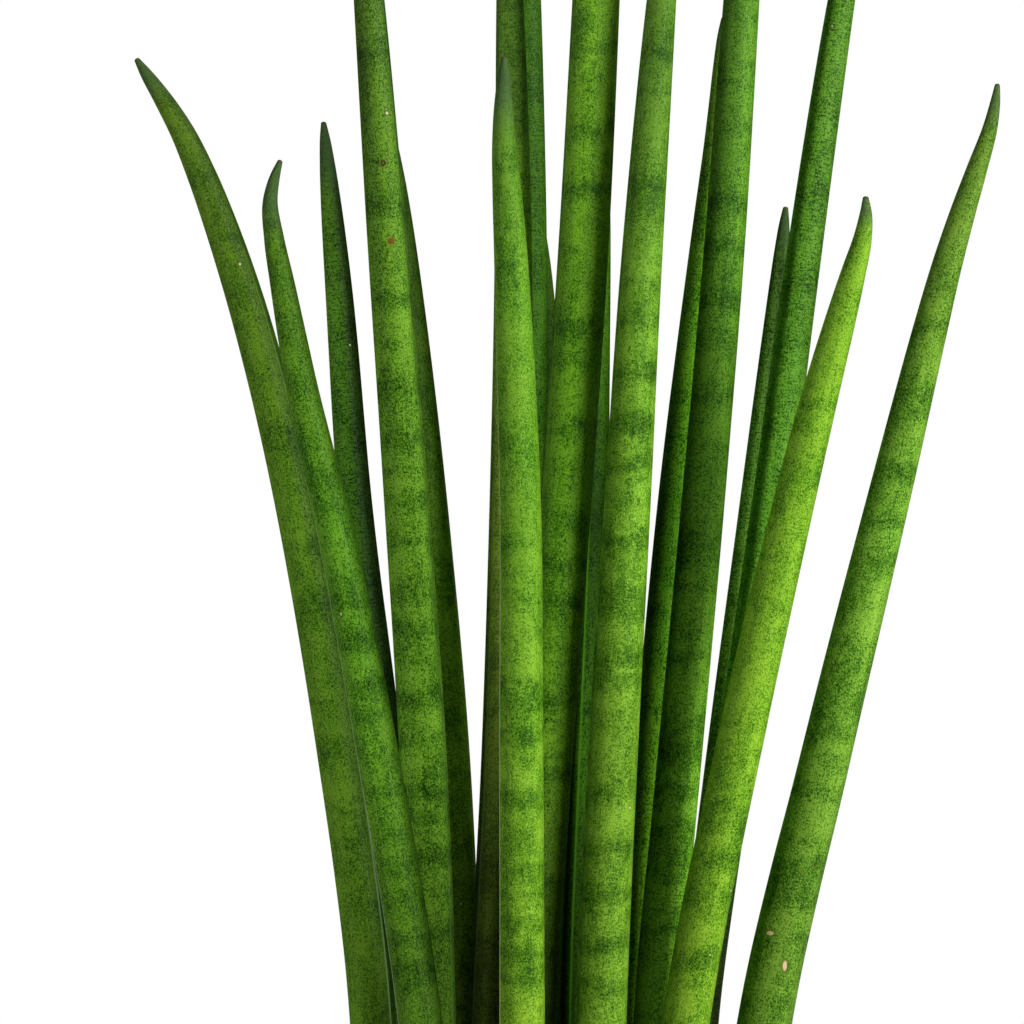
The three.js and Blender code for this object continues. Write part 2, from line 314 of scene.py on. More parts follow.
# %% A smooth curve through known values
def smooth_between(places, values, wanted):
    """Values at the wanted places, on a smooth curve through the known ones."""
    values = np.array(values, float)
    slopes = np.gradient(values, places, axis=0)
    before = np.clip(np.searchsorted(places, wanted, side="right") - 1, 0, len(places) - 2)
    span = places[before + 1] - places[before]
    share = (wanted - places[before]) / span
    if values.ndim == 2:
        span = span[:, None]
        share = share[:, None]
    start, end = values[before], values[before + 1]
    rise = (3 - 2 * share) * share**2
    leave = share * (1 - share) ** 2 * span * slopes[before]
    arrive = share**2 * (1 - share) * span * slopes[before + 1]
    return start + rise * (end - start) + leave - arrive


# %% [markdown]
# ## Rolling a leaf
#
# A leaf of this plant is a flat leaf that evolution has rolled into a rod, and the channel is
# what is left of its upper side. The mesh is made the same way: a flat grid is rolled round the
# leaf's midline, its two long sides meet at the bottom of the channel, and its short ends draw
# together at the foot and the tip. Each point also remembers where it would lie on the leaf
# before it was bent, so that the pattern on the skin follows the leaf and shows no seam.

# %% The shape of a leaf across its width
SIDES = 52
CROWDING = 0.07
CHANNEL_DEPTH = 0.2
GROOVE_WIDTH = math.radians(17)
RIM_PLACE = math.radians(31)
RIM_WIDTH = math.radians(5.5)
RIM_HEIGHT = 0.018
THREE_LOBES = 0.006
FIVE_LOBES = 0.004
UNEVENNESS = 0.012


def bell(distance, width):
    """1 at no distance, and next to nothing past twice the width."""
    return math.exp(-((distance / width) ** 2))


def off_channel(angle):
    """How far an angle round the leaf lies from the channel, on either side of it."""
    return abs((angle + math.pi) % (2 * math.pi) - math.pi)


def section(angle, depth, seed, place):
    """The radius at an angle from the channel, as a share of the leaf's own radius."""
    strength = depth / CHANNEL_DEPTH
    groove = depth * bell(off_channel(angle), GROOVE_WIDTH)
    rim = RIM_HEIGHT * strength * bell(off_channel(angle) - RIM_PLACE, RIM_WIDTH)
    lobes = THREE_LOBES * math.cos(3 * angle + seed) + FIVE_LOBES * math.cos(5 * angle)
    around = Vector((math.cos(angle), math.sin(angle), 18 * place + 7 * seed))
    return 1 - groove + rim + lobes + UNEVENNESS * noise.noise(around)


print("a leaf has", SIDES, "faces round it, crowded together at its channel")

# %% The rows and the midline of a leaf
ROW_STEP = 2 * MM
TIP_ZONE = 45 * MM
TIP_STEP = 1 * MM
DOME_ROWS = 7


def rows_for(places):
    """Where the rows of points lie along a leaf: closer near the tip, and closest on its dome."""
    last, tip = places[-2], places[-1]
    body = np.arange(0, last - TIP_ZONE, ROW_STEP)
    zone = np.arange(last - TIP_ZONE, last, TIP_STEP)
    dome = last + (tip - last) * np.sin(np.linspace(0, math.pi / 2, DOME_ROWS))
    return np.concatenate([[0], body, zone, dome])


def midline(node):
    """A leaf's rows, the middle, radius and channel depth at each, and the channel's direction."""
    rings = rings_of(node)
    shapes = [measure_ring(ring) for ring in rings[:-1]]
    middles = np.array([shape[0] for shape in shapes] + [rings[-1][0]])
    radii = np.array([shape[1] for shape in shapes])
    depths = np.array([1 - np.linalg.norm(way) / radius for middle, radius, way in shapes])
    way = shapes[int(depths.argmax())][2]
    places = np.concatenate([[0], np.cumsum(np.linalg.norm(np.diff(middles, axis=0), axis=1))])
    rows = rows_for(places)
    last, tip = places[-2], places[-1]
    dome = np.sqrt(np.clip(1 - ((rows - last) / (tip - last)) ** 2, 0, 1))
    row_radii = smooth_between(places[:-1], radii, np.minimum(rows, last))
    row_radii = np.where(rows > last, radii[-1] * dome, row_radii)
    row_radii[0] = 0
    row_depths = np.interp(rows, places[:-1], depths)
    row_middles = smooth_between(places, middles, rows)
    return rows, row_middles, row_radii, row_depths, Vector((way[0], way[1], 0)).normalized()


print(leaf_names[0], "gets", len(midline(leaf_names[0])[0]), "rows of points")

# %% [markdown]
# ## Bands and shade on each leaf
#
# No two leaves are the same green. Each has its dark cross bands at heights of its own, and a leaf
# inside the clump stands in the shade of the others. A lamp can't be set for each leaf, so the
# skin's colour is multiplied by a tint that changes up the leaf and across it. The bands and the
# tint are stored on the points of the mesh, where every view keeps them.

# %% Cross bands, by the pixel rows of the photograph where each leaf has a dark one
BAND_REACH = 11
BAND_ROWS = {
    "leaf_02": (600, 630, 645, 682, 710, 785, 860, 930, 960),
    "leaf_04": (60, 210, 300, 390, 440, 545, 595, 627, 700, 740, 790, 815, 855, 930),
    "leaf_09": (545, 590, 630, 680, 700, 730, 795, 860, 885, 915, 945, 970),
    "leaf_10": (50, 135, 190, 330, 430, 565, 600, 700, 770, 880),
    "leaf_12": (
        *(60, 190, 285, 320, 375, 425, 465, 540, 590),
        *(610, 655, 680, 790, 845, 890, 940, 985),
    ),
    "leaf_14": (
        *(70, 130, 205, 250, 305, 345, 395, 540, 560),
        *(655, 720, 740, 755, 790, 830, 850, 870, 930),
    ),
    "leaf_17": (410, 800, 820, 855, 890, 955),
    "leaf_18": (330, 395, 420, 475, 520, 560, 640, 665, 690, 710, 735, 790, 865, 880, 900, 940),
}


def row_seen(height):
    """The row of the picture in which that height above the table shows."""
    return PICTURE_PIXELS / 2 - (height - EYE.z) * PIXELS_PER_METRE


def band_strength(node, spot):
    """How dark the cross bands make the skin there, from the bands seen in the photograph."""
    wander = 9 * noise.noise(spot * 90) + 6 * noise.noise(spot * 230)
    row = row_seen(spot.z) + wander
    fade = 0.75 + 0.5 * noise.noise(spot * 60)
    return min(1.0, fade * sum(bell(row - band, BAND_REACH) for band in BAND_ROWS.get(node, ())))


print("dark bands are placed on", len(BAND_ROWS), "leaves")

# %% How each leaf differs from the others of its tone
WARMTH_ROWS = (75, 525, 960)
LIGHTNESS_ROWS = (75, 300, 525, 750, 960)

# warmth is how strong the red is at the WARMTH_ROWS of the photograph, from the top to the bottom,
# and blueness how strong the blue is: lower as painted shade on the leaves deep in the clump, and
# higher as a painted sheen on leaf_15 and leaf_18. graininess and rippling are how much the fine
# grain and the ripples show, and dull_reach is how far the dull tip reaches in millimetres.
# lightness is how light the leaf is at the LIGHTNESS_ROWS: partly its own tone, and partly painted
# shade.
Look = namedtuple("Look", "warmth blueness graininess rippling dull_reach lightness")
LOOKS = {
    "leaf_01": Look((1.05, 0.94, 0.94), 0.95, 1.0, 0.3, 15, (0.50, 0.60, 0.66, 0.60, 0.60)),
    "leaf_02": Look((0.96, 0.80, 0.90), 0.9, 1.1, 0.3, 21, (0.56, 0.56, 0.72, 0.74, 0.45)),
    "leaf_03": Look((0.95, 0.80, 0.80), 1.0, 1.3, 1.5, 21, (0.56, 0.86, 0.55, 0.64, 0.52)),
    "leaf_04": Look((0.97, 0.94, 0.96), 1.1, 1.2, 0.3, 12, (0.60, 1.17, 1.25, 1.46, 0.82)),
    "leaf_05": Look((1.00, 1.05, 1.20), 1.0, 1.0, 0.3, 12, (0.50, 0.52, 1.28, 1.90, 0.92)),
    "leaf_06": Look((0.62, 0.84, 0.84), 0.9, 0.9, 0.6, 12, (1.85, 3.60, 2.10, 0.90, 0.49)),
    "leaf_07": Look((0.78, 0.74, 0.74), 0.7, 1.1, 0.8, 12, (0.84, 0.82, 0.84, 0.82, 0.82)),
    "leaf_08": Look((0.95, 0.95, 0.95), 1.0, 0.9, 0.6, 12, (0.66, 0.66, 0.66, 0.66, 0.66)),
    "leaf_09": Look((0.82, 0.87, 1.05), 1.1, 0.9, 0.2, 22, (0.52, 0.86, 0.83, 0.98, 1.03)),
    "leaf_10": Look((0.91, 0.83, 1.00), 0.7, 1.0, 0.3, 12, (1.05, 0.84, 0.75, 0.70, 0.18)),
    "leaf_11": Look((0.80, 0.65, 0.70), 0.5, 1.3, 0.6, 12, (0.52, 0.56, 0.19, 0.58, 0.28)),
    "leaf_12": Look((0.90, 1.02, 1.08), 1.2, 0.9, 0.3, 12, (0.64, 0.97, 1.18, 1.00, 1.03)),
    "leaf_13": Look((0.84, 0.62, 0.84), 0.7, 1.4, 0.5, 12, (1.10, 1.05, 0.56, 0.78, 1.50)),
    "leaf_14": Look((0.82, 0.83, 0.95), 1.1, 1.1, 0.4, 12, (0.73, 0.74, 0.56, 1.16, 1.38)),
    "leaf_15": Look((1.05, 1.05, 1.50), 1.9, 1.5, 1.3, 14, (0.42, 0.90, 2.02, 1.42, 1.10)),
    "leaf_16": Look((0.90, 0.82, 1.15), 1.1, 1.3, 1.3, 12, (1.34, 1.20, 1.42, 2.10, 0.63)),
    "leaf_17": Look((0.93, 0.96, 1.03), 1.0, 1.0, 0.3, 9, (0.85, 0.98, 1.00, 0.97, 0.90)),
    "leaf_18": Look((1.02, 0.94, 0.98), 1.6, 1.1, 0.3, 13, (0.62, 0.76, 0.98, 0.88, 0.74)),
}
print("each of", len(LOOKS), "leaves has its own look")

# %% Painted light and shade across a leaf, from its left edge to its right edge in the photograph
SIDE_PLACES = (-1, -0.6, 0, 0.6, 1)
# Painted light and shade of a leaf whose right side is lit, for the leaves not listed below.
PAINTED_RIGHT_LIGHT = (0.9, 0.84, 0.92, 1.12, 0.9)
# Painted light and shade across the leaves that are shaded or lit otherwise.
PAINTED_SIDE_SHADING = {
    "leaf_01": (1.25, 1.15, 1.04, 0.72, 0.5),
    "leaf_02": (1.3, 1.2, 1.12, 0.86, 0.33),
    "leaf_03": (1.6, 1.5, 0.97, 0.3, 0.2),
    "leaf_04": (0.8, 0.85, 1.12, 1.1, 0.38),
    "leaf_05": (0.92, 1, 0.9, 1.2, 1),
    "leaf_06": (0.92, 1, 1, 1, 0.7),
    "leaf_07": (0.92, 1, 1.2, 0.9, 0.65),
    "leaf_09": (1.15, 0.86, 0.92, 1.08, 0.92),
    "leaf_10": (0.95, 1.02, 1.1, 0.75, 0.75),
    "leaf_11": (0.92, 1, 1, 1, 0.7),
    "leaf_12": (1.3, 0.9, 0.88, 1.08, 1),
    "leaf_13": (0.6, 0.5, 0.95, 1.3, 1.05),
    "leaf_14": (0.72, 0.74, 0.88, 1.2, 1),
    "leaf_15": (1.2, 1.2, 0.55, 0.8, 0.6),
    "leaf_16": (1.4, 1.3, 0.95, 0.85, 0.7),
}

# Painted light and shade: how much lighter a leaf's right edge is than its middle, low in the
# photograph.
PAINTED_LOW_SLANTS = {
    "leaf_01": -0.2,
    "leaf_02": -0.18,
    "leaf_04": -0.15,
    "leaf_14": 0.35,
    "leaf_17": 0.2,
}
SLANT_ROWS = (500, 900)


def tone_and_shading_at(node, picture_row, side):
    """What the skin's colour is multiplied with at a row of the picture and a place across: its
    tone, painted light and shade.
    """
    look = LOOKS[node]
    # Lightness up the leaf: partly its own tone, and partly painted shade where other leaves shade
    # it.
    light = np.interp(picture_row, LIGHTNESS_ROWS, look.lightness)
    # Painted light and shade across the leaf, with a painted slant low down.
    light *= np.interp(side, SIDE_PLACES, PAINTED_SIDE_SHADING.get(node, PAINTED_RIGHT_LIGHT))
    light *= 1 + side * PAINTED_LOW_SLANTS.get(node, 0) * np.interp(picture_row, SLANT_ROWS, (0, 1))
    warmth = np.interp(picture_row, WARMTH_ROWS, look.warmth)
    return Vector((light * warmth, light, light * look.blueness))


print("the middle of leaf_09 is tinted", tone_and_shading_at("leaf_09", PICTURE_PIXELS / 2, 0))

# %% Roll a leaf
THIN = 0.1 * MM
SHALLOW_CHANNELS = {"leaf_16": 0.45}


def roll_leaf(node, seed):
    """The mesh of one leaf, as a bmesh. Its points store what the finish of its skin reads."""
    rows, middles, radii, depths, channel_way = midline(node)
    length = rows[-1]
    leaf = bmesh.new()
    bmesh.ops.create_grid(leaf, x_segments=SIDES, y_segments=len(rows) - 1, size=1)
    skin = leaf.verts.layers.float_vector.new("skin")
    from_tip = leaf.verts.layers.float.new("from_tip")
    rim_layer = leaf.verts.layers.float.new("rim")
    groove_layer = leaf.verts.layers.float.new("groove")
    band_layer = leaf.verts.layers.float.new("band")
    tone_and_shading_layer = leaf.verts.layers.float_vector.new("tone_and_shading")
    shallow = SHALLOW_CHANNELS.get(node, 1)
    slopes = [Vector(slope) for slope in np.gradient(middles, axis=0)]
    middles = [Vector(middle) for middle in middles]
    rows, radii, depths = rows.tolist(), radii.tolist(), depths.tolist()
    for point in leaf.verts:
        turn = (point.co.x + 1) / 2
        row = round((point.co.y + 1) / 2 * (len(rows) - 1))
        angle = 2 * math.pi * turn - 2 * math.pi * CROWDING * math.sin(2 * math.pi * turn)
        along = slopes[row].normalized()
        out = (channel_way - channel_way.dot(along) * along).normalized()
        across = along.cross(out)
        radius = radii[row] * section(angle, depths[row] * shallow, seed, rows[row])
        offset = radius * (math.cos(angle) * out + math.sin(angle) * across)
        point.co = middles[row] + offset
        apart = off_channel(angle)
        flat = (radius * math.cos(angle), radius * math.sin(angle), rows[row] + seed)
        point[skin] = Vector(flat) / MM
        point[from_tip] = (length - rows[row]) / MM
        strength = depths[row] * shallow / CHANNEL_DEPTH
        point[rim_layer] = strength * bell(apart - RIM_PLACE, RIM_WIDTH)
        point[groove_layer] = strength * bell(apart, GROOVE_WIDTH)
        point[band_layer] = band_strength(node, point.co)
        side = (point.co.x - middles[row].x) / max(radii[row], THIN)
        # The stored tint carries painted light and shade along with the leaf's own tone.
        point[tone_and_shading_layer] = tone_and_shading_at(node, row_seen(point.co.z), side)
    bmesh.ops.remove_doubles(leaf, verts=leaf.verts, dist=0.002 * MM)
    bmesh.ops.recalc_face_normals(leaf, faces=leaf.faces)
    for face in leaf.faces:
        face.smooth = True
    return leaf


# %% [markdown]
# ## Leaf skin
#
# From a step away the skin is green with darker cross bands. Close up it is a yellow green ground
# under fine dark green grain, which crowds together to make the bands, and it is finely rippled
# across. Towards the tip it turns a dull grey green, and it ends in a small hard brown point.

# %% The greens of the leaves
TONES = {
    "leaf_bright": {
        "light": paint(146, 190, 50),
        "green": paint(94, 148, 26),
        "band": paint(48, 90, 10),
        "speck": paint(29, 54, 5),
    },
    "leaf_mid": {
        "light": paint(134, 182, 48),
        "green": paint(86, 138, 26),
        "band": paint(44, 82, 10),
        "speck": paint(27, 50, 5),
    },
    "leaf_deep": {
        "light": paint(104, 150, 40),
        "green": paint(68, 112, 22),
        "band": paint(34, 69, 12),
        "speck": paint(20, 41, 6),
    },
    "leaf_bronze": {
        "light": paint(114, 131, 40),
        "green": paint(76, 94, 24),
        "band": paint(49, 64, 15),
        "speck": paint(31, 39, 8),
    },
}

# %% Painted highlights on the rims, painted shade in the channels, colours of tips and feet, and the heights where they change
# A rim highlight is a painted highlight and reflection along the ridge beside the channel, given as
# a colour with the share of it that covers the green.
PLAIN_RIM_HIGHLIGHT = (paint(104, 150, 44), 0.3)
RIM_HIGHLIGHTS = {
    "leaf_01": (paint(132, 162, 106), 0.7),
    "leaf_02": (paint(204, 206, 182), 1.0),
    "leaf_04": (paint(96, 134, 78), 0.35),
    "leaf_06": (paint(132, 140, 96), 0.5),
    "leaf_09": (paint(206, 216, 176), 1.0),
    "leaf_10": (paint(110, 146, 76), 0.6),
    "leaf_11": (paint(96, 168, 36), 1.0),
    "leaf_12": (paint(120, 160, 76), 0.5),
    "leaf_16": (paint(112, 164, 60), 0.5),
}
# Painted shade in each leaf's channel: the share of the dark green over it, for most leaves and for
# those listed.
GROOVE_SHADE_SHARE = 0.3
GROOVE_SHADES_BY_LEAF = {"leaf_01": 0.6, "leaf_04": 0.7, "leaf_11": 0.85, "leaf_16": 1.0}
GROOVE_SHADE_COLOUR = paint(22, 60, 8)
HAZE_COLOUR = paint(86, 108, 66)
TIP_COLOUR = paint(66, 90, 54)
POINT_COLOUR = paint(84, 84, 56)
FOOT_COLOUR = paint(158, 150, 84)

SOIL_TOP = 112 * MM
FOOT_PALE_BELOW = 150 * MM
HAZE_FROM = 340 * MM
HAZE_FULL = 450 * MM
HAZE_SHARE = 0.1
print(len(RIM_HIGHLIGHTS), "leaves have a rim colour of their own")

# %% [markdown]
# ## Scars and specks
#
# A few small marks show on the photographed leaves: corky scars, pale dots and one painted highlight
# at a leaf's edge. Each is placed by the pixel where it shows. A line of sight from the camera
# through that pixel meets the leaf at the mark's place, and the mark is painted there on the skin.

# %% Marks, by pixel column and row, with their half width and half height in millimetres
# Each kind has the colours of its halo, its edge and its heart, and how far the heart reaches.
MARK_COLOURS = {
    "pale": (paint(60, 84, 20), paint(56, 62, 22), paint(210, 210, 156), 1.0),
    "dark": (paint(86, 92, 24), paint(60, 48, 22), paint(108, 92, 66), 0.6),
    "ring": (paint(136, 128, 34), paint(132, 94, 32), paint(118, 110, 40), 0.6),
    "scar": (paint(72, 100, 30), paint(112, 84, 36), paint(214, 196, 140), 1.1),
}
MARKS = {
    "leaf_01": ((240, 264, 0.35, 0.35, "pale"),),
    "leaf_02": ((341, 614, 0.3, 0.6, "pale"),),
    "leaf_03": ((350, 345, 0.3, 0.3, "pale"),),
    "leaf_04": (
        (387, 113, 0.42, 0.42, "pale"),
        (383, 163, 0.55, 0.6, "dark"),
        (391, 241, 0.7, 0.65, "ring"),
    ),
    "leaf_05": ((461, 904, 0.35, 0.35, "pale"),),
    "leaf_12": ((630, 808, 0.3, 0.5, "scar"), (579, 793, 0.3, 0.3, "dark")),
    "leaf_16": ((832, 26, 0.35, 0.35, "pale"),),
    "leaf_17": (
        # The first pale mark is a painted highlight at the leaf's edge.
        (731, 891, 0.3, 0.5, "pale"),
        (710, 955, 0.25, 0.25, "pale"),
        (705, 822, 0.3, 0.3, "dark"),
    ),
    "leaf_18": (
        (770, 933, 1.05, 0.6, "scar"),
        (785, 966, 0.65, 1.4, "scar"),
        (815, 865, 0.3, 0.3, "dark"),
    ),
}


# %% Find the marks on a leaf, and paint them
def marks_on(node, leaf):
    """The marks of one leaf, as places on its skin with their half sizes in metres."""
    skin_tree = BVHTree.FromBMesh(leaf)
    found = []
    for column, row, half_width, half_height, kind in MARKS.get(node, ()):
        place = skin_tree.ray_cast(EYE, sight_line(column, row))[0]
        if place:
            found.append((place, half_width * MM, half_height * MM, kind))
    return found


def painted_marks(skin, colour, spot, patchy, marks):
    """The colour with each mark over it: a halo, an edge and a heart, all a little ragged."""
    for middle, half_width, half_height, kind in marks:
        halo, edge, heart, heart_reach = MARK_COLOURS[kind]
        offset = skin.add("ShaderNodeVectorMath", {"operation": "SUBTRACT"}, {0: spot, 1: middle})
        reach = (half_width, half_width, half_height)
        scaled = skin.add("ShaderNodeVectorMath", {"operation": "DIVIDE"}, {0: offset, 1: reach})
        away = skin.add("ShaderNodeVectorMath", {"operation": "LENGTH"}, {0: scaled}, 1)
        away = away + patchy * 0.9
        colour = skin.mix(colour, halo, away.rise(2.0, 1.1) * 0.55)
        colour = skin.mix(colour, edge, away.rise(1.25, 0.85))
        colour = skin.mix(colour, heart, away.rise(heart_reach, heart_reach * 0.6))
    return colour


print("marks are placed on", len(MARKS), "leaves")

# %% [markdown]
# ## The layers of the skin
#
# A picture wrapped round each leaf would be the quick way, but it would blur close up and show its
# seam. Noise has neither fault. Several layers of it, from blotches as wide as the leaf down to
# grain finer than a millimetre, add up to one number, the depth of the green, and that number
# picks the colour. Most layers are stretched, because a leaf grows along its length.

# %% The finish of a leaf
def leaf_skin(node, tone, marks):
    """The finish of one leaf. Marks are places on it, each with its half sizes and its kind."""
    look = LOOKS[node]
    skin = Finish(f"{node} skin")
    place = skin.stored("skin", 1)
    tone_and_shading = skin.stored("tone_and_shading", 1)
    tip = skin.stored("from_tip")
    rim = skin.stored("rim")
    groove = skin.stored("groove")
    drawn_band = skin.stored("band")
    spot = skin.here()
    height = skin.height_of(spot)

    # Sizes are in millimetres, and a small last factor draws a layer out along the leaf.
    mottle = skin.cloud(skin.stretch(place, (1, 1, 0.5)), 6, 2, 0.5) - 0.5
    crossing = skin.cloud(skin.stretch(place, (0.35, 0.35, 1)), 7, 1, 0.5, 0.3) - 0.5
    patchy = skin.cloud(skin.stretch(place, (1, 1, 0.8)), 1.6, 2, 0.6) - 0.5
    streak = skin.cloud(skin.stretch(place, (1, 1, 0.05)), 0.8, 2, 0.6) - 0.5
    ripple = skin.cloud(skin.stretch(place, (0.22, 0.22, 1)), 0.36, 1, 0.5, 0.3) - 0.5
    grain = skin.cloud(skin.stretch(place, (1, 1, 0.85)), 0.36, 2, 0.6) - 0.5
    dots = skin.cloud(place, 0.5, 1, 0.5).rise(0.66, 0.74)

    found_band = (crossing + patchy * 0.3).rise(-0.05, 0.3) * 0.7
    band = found_band.most((drawn_band + patchy * 0.8).rise(0.0, 1.0))
    depth = 0.25 + band * 0.46 + mottle * 1.2 + patchy * 0.5 + streak * 0.5
    depth = depth + grain * (2.9 * look.graininess) + ripple * (1.4 * look.rippling)
    specks = (grain + depth * 0.12).rise(0.17, 0.25)

    colour = skin.mix(tone["light"], tone["green"], depth.rise(-0.2, 0.6))
    colour = skin.mix(colour, tone["band"], depth.rise(0.3, 1.1) * 0.9)
    colour = skin.mix(colour, tone["speck"], depth.rise(0.85, 1.5))
    colour = skin.mix(colour, tone["speck"], specks * (0.5 * look.graininess))
    colour = skin.mix(colour, tone["band"], dots * 0.5)
    # Painted light and shade: the colour is multiplied by the stored tint.
    colour = skin.stretch(colour, tone_and_shading)
    colour = skin.mix(colour, HAZE_COLOUR, height.rise(HAZE_FROM, HAZE_FULL) * HAZE_SHARE)
    # Painted shade down the channel.
    colour = skin.mix(colour, GROOVE_SHADE_COLOUR, groove * GROOVE_SHADES_BY_LEAF.get(node, GROOVE_SHADE_SHARE))
    # Painted highlights and reflections along the rims of the channel.
    rim_highlight_colour, rim_highlight_share = RIM_HIGHLIGHTS.get(node, PLAIN_RIM_HIGHLIGHT)
    colour = skin.mix(colour, rim_highlight_colour, rim.rise(0.5, 0.95) * rim_highlight_share)
    dull = tip.rise(look.dull_reach, look.dull_reach * 0.3)
    colour = skin.mix(colour, TIP_COLOUR, dull * (0.75 + grain * 0.9))
    colour = skin.mix(colour, POINT_COLOUR, tip.rise(0.9, 0.3))
    low = height.rise(FOOT_PALE_BELOW, SOIL_TOP)
    colour = skin.mix(colour, FOOT_COLOUR, low * (0.6 + mottle * 1.2))
    colour = painted_marks(skin, colour, spot, patchy, marks)

    rough = 0.5 + grain * 0.3 + dull * 0.12
    relief = skin.bump(ripple, 0.05 * look.rippling * MM)
    relief = skin.bump(streak, 0.06 * MM, relief)
    relief = skin.bump(grain, 0.02 * MM, relief)
    return skin.close(colour, rough, relief, **{"Specular IOR Level": 0.07})


# %% Dress the leaves
def as_object(name, shape):
    """A bmesh as a plain object in the scene. The bmesh is used up."""
    mesh = bpy.data.meshes.new(name)
    shape.to_mesh(mesh)
    shape.free()
    made = bpy.data.objects.new(name, mesh)
    bpy.context.scene.collection.objects.link(made)
    return made


def show(name, shape, material, slot, *nodes):
    """A finished bmesh as an object that rides with the plant, in place of the given nodes, which it
    hides.
    """
    piece = as_object(name, shape)
    piece.data.materials.append(material)
    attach(piece, BODY)
    if nodes:
        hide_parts(*nodes)
    print(name, "has", len(piece.data.polygons), "faces")


def foot_of(leaf):
    """The middle of a leaf where it comes out of the mix, and how far it reaches from there."""
    at_soil = [point.co for point in leaf.verts if abs(point.co.z - SOIL_TOP) < 2 * MM]
    middle = sum(at_soil, Vector()) / len(at_soil)
    return middle, max((corner - middle).xy.length for corner in at_soil)


feet = []
for number, node in enumerate(leaf_names, start=1):
    leaf = roll_leaf(node, number)
    feet.append(foot_of(leaf))
    material = leaf_skin(node, TONES[slots[node]], marks_on(node, leaf))
    show(f"{node}_skin", leaf, material, slots[node], node)

# %% [markdown]
# ## The clay pot
#
# A thrown pot is one outline turned about the middle. The outline below has sharp corners. A
# helper rounds them, another splits the long stretches, and one spin makes the foot, the wall, the
# rim and the inside together. Slow noise then takes the pot a hair out of true, as a hand does.

# %% The pot's outline
RIM_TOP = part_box("pot")[1]
POT_HEIGHT = RIM_TOP.z
RIM_RADIUS = RIM_TOP.x
FOOT_RADIUS = 46 * MM
SHOULDER_HEIGHT = 104 * MM
UNDER_RIM_RADIUS = 62.8 * MM
RIM_LOW_RADIUS = 65.8 * MM
MOUTH_RADIUS = 61 * MM
INNER_FLOOR_RADIUS = 41.5 * MM
INNER_FLOOR = 9 * MM
POT_SIDES = 120
OUTLINE_STEP = 3 * MM

CORNERS = [
    Vector((0, 0, 0)),
    Vector((FOOT_RADIUS, 0, 0)),
    Vector((UNDER_RIM_RADIUS, 0, SHOULDER_HEIGHT)),
    Vector((RIM_LOW_RADIUS, 0, SHOULDER_HEIGHT)),
    Vector((RIM_RADIUS, 0, POT_HEIGHT)),
    Vector((MOUTH_RADIUS, 0, POT_HEIGHT)),
    Vector((INNER_FLOOR_RADIUS, 0, INNER_FLOOR)),
    Vector((0, 0, INNER_FLOOR)),
]
ROUNDNESS = [2.2 * MM, 1 * MM, 1.4 * MM, 3.4 * MM, 2.6 * MM, 5 * MM]


def rounded(corners, reaches, steps=6):
    """An outline with a soft curve at each inner corner, from that far before it to after it."""
    line = [corners[0]]
    for before, corner, after, reach in zip(corners, corners[1:], corners[2:], reaches):
        start = corner + reach * (before - corner).normalized()
        end = corner + reach * (after - corner).normalized()
        for step in range(steps + 1):
            share = step / steps
            onto = start.lerp(corner, share)
            line.append(onto.lerp(corner.lerp(end, share), share))
    return line + [corners[-1]]


def split(line, longest):
    """The same outline with points added, so that no stretch is longer than that."""
    points = [line[0]]
    for start, end in zip(line, line[1:]):
        parts = max(1, math.ceil((end - start).length / longest))
        points += [start.lerp(end, part / parts) for part in range(1, parts + 1)]
    return points


# %% Turn the pot
def put_in_order(shape):
    """Sort the faces by where they lie. A spin leaves them in another order each time."""
    by_place = sorted(shape.faces, key=lambda face: face.calc_center_median()[:])
    for number, face in enumerate(by_place):
        face.index = number
    shape.faces.sort()


def turned(outline, sides):
    """A closed surface, turned about the upright axis from an outline that starts and ends on it."""
    shape = bmesh.new()
    corners = [shape.verts.new(point) for point in outline]
    edges = [shape.edges.new(pair) for pair in zip(corners, corners[1:])]
    bmesh.ops.spin(
        shape,
        geom=corners + edges,
        cent=(0, 0, 0),
        axis=(0, 0, 1),
        angle=2 * math.pi,
        steps=sides,
        use_merge=True,
    )
    bmesh.ops.remove_doubles(shape, verts=shape.verts, dist=0.02 * MM)
    put_in_order(shape)
    bmesh.ops.recalc_face_normals(shape, faces=shape.faces)
    return shape


pot_shape = turned(split(rounded(CORNERS, ROUNDNESS), OUTLINE_STEP), POT_SIDES)
for point in pot_shape.verts:
    swell = 0.5 * noise.noise(point.co * 14) + 0.15 * noise.noise(point.co * 60)
    away = point.co.xy.length / RIM_RADIUS
    point.co.xy *= 1 + away * swell * MM / RIM_RADIUS
    point.co.z += max(0, point.co.z - SHOULDER_HEIGHT) * 0.012 * noise.noise(point.co * 9)
print("the pot has", len(pot_shape.faces), "faces before its holes are cut")

# %% [markdown]
# ## Drainage holes
#
# Water leaves the pot through three holes in its floor. They stand off the middle, so the spin
# can't make them. Three cylinders are taken away from the pot by a Boolean modifier, and what it
# leaves becomes the pot's mesh. Edges that turn sharply are marked, so that the smooth shading
# stops at the edge of each hole.

# %% Cut the drainage holes
DRAIN_HOLES = 3
DRAIN_RADIUS = 5 * MM
DRAIN_CIRCLE = 25 * MM
DRAIN_SIDES = 32
SHARP = math.radians(40)


def worked(*objects):
    """The first object's mesh with its modifiers applied, as a bmesh; the objects are taken away."""
    graph = bpy.context.evaluated_depsgraph_get()
    mesh = bpy.data.meshes.new_from_object(objects[0].evaluated_get(graph))
    shape = bmesh.new()
    shape.from_mesh(mesh)
    bpy.data.meshes.remove(mesh)
    for done in objects:
        bpy.data.objects.remove(done)
    return shape


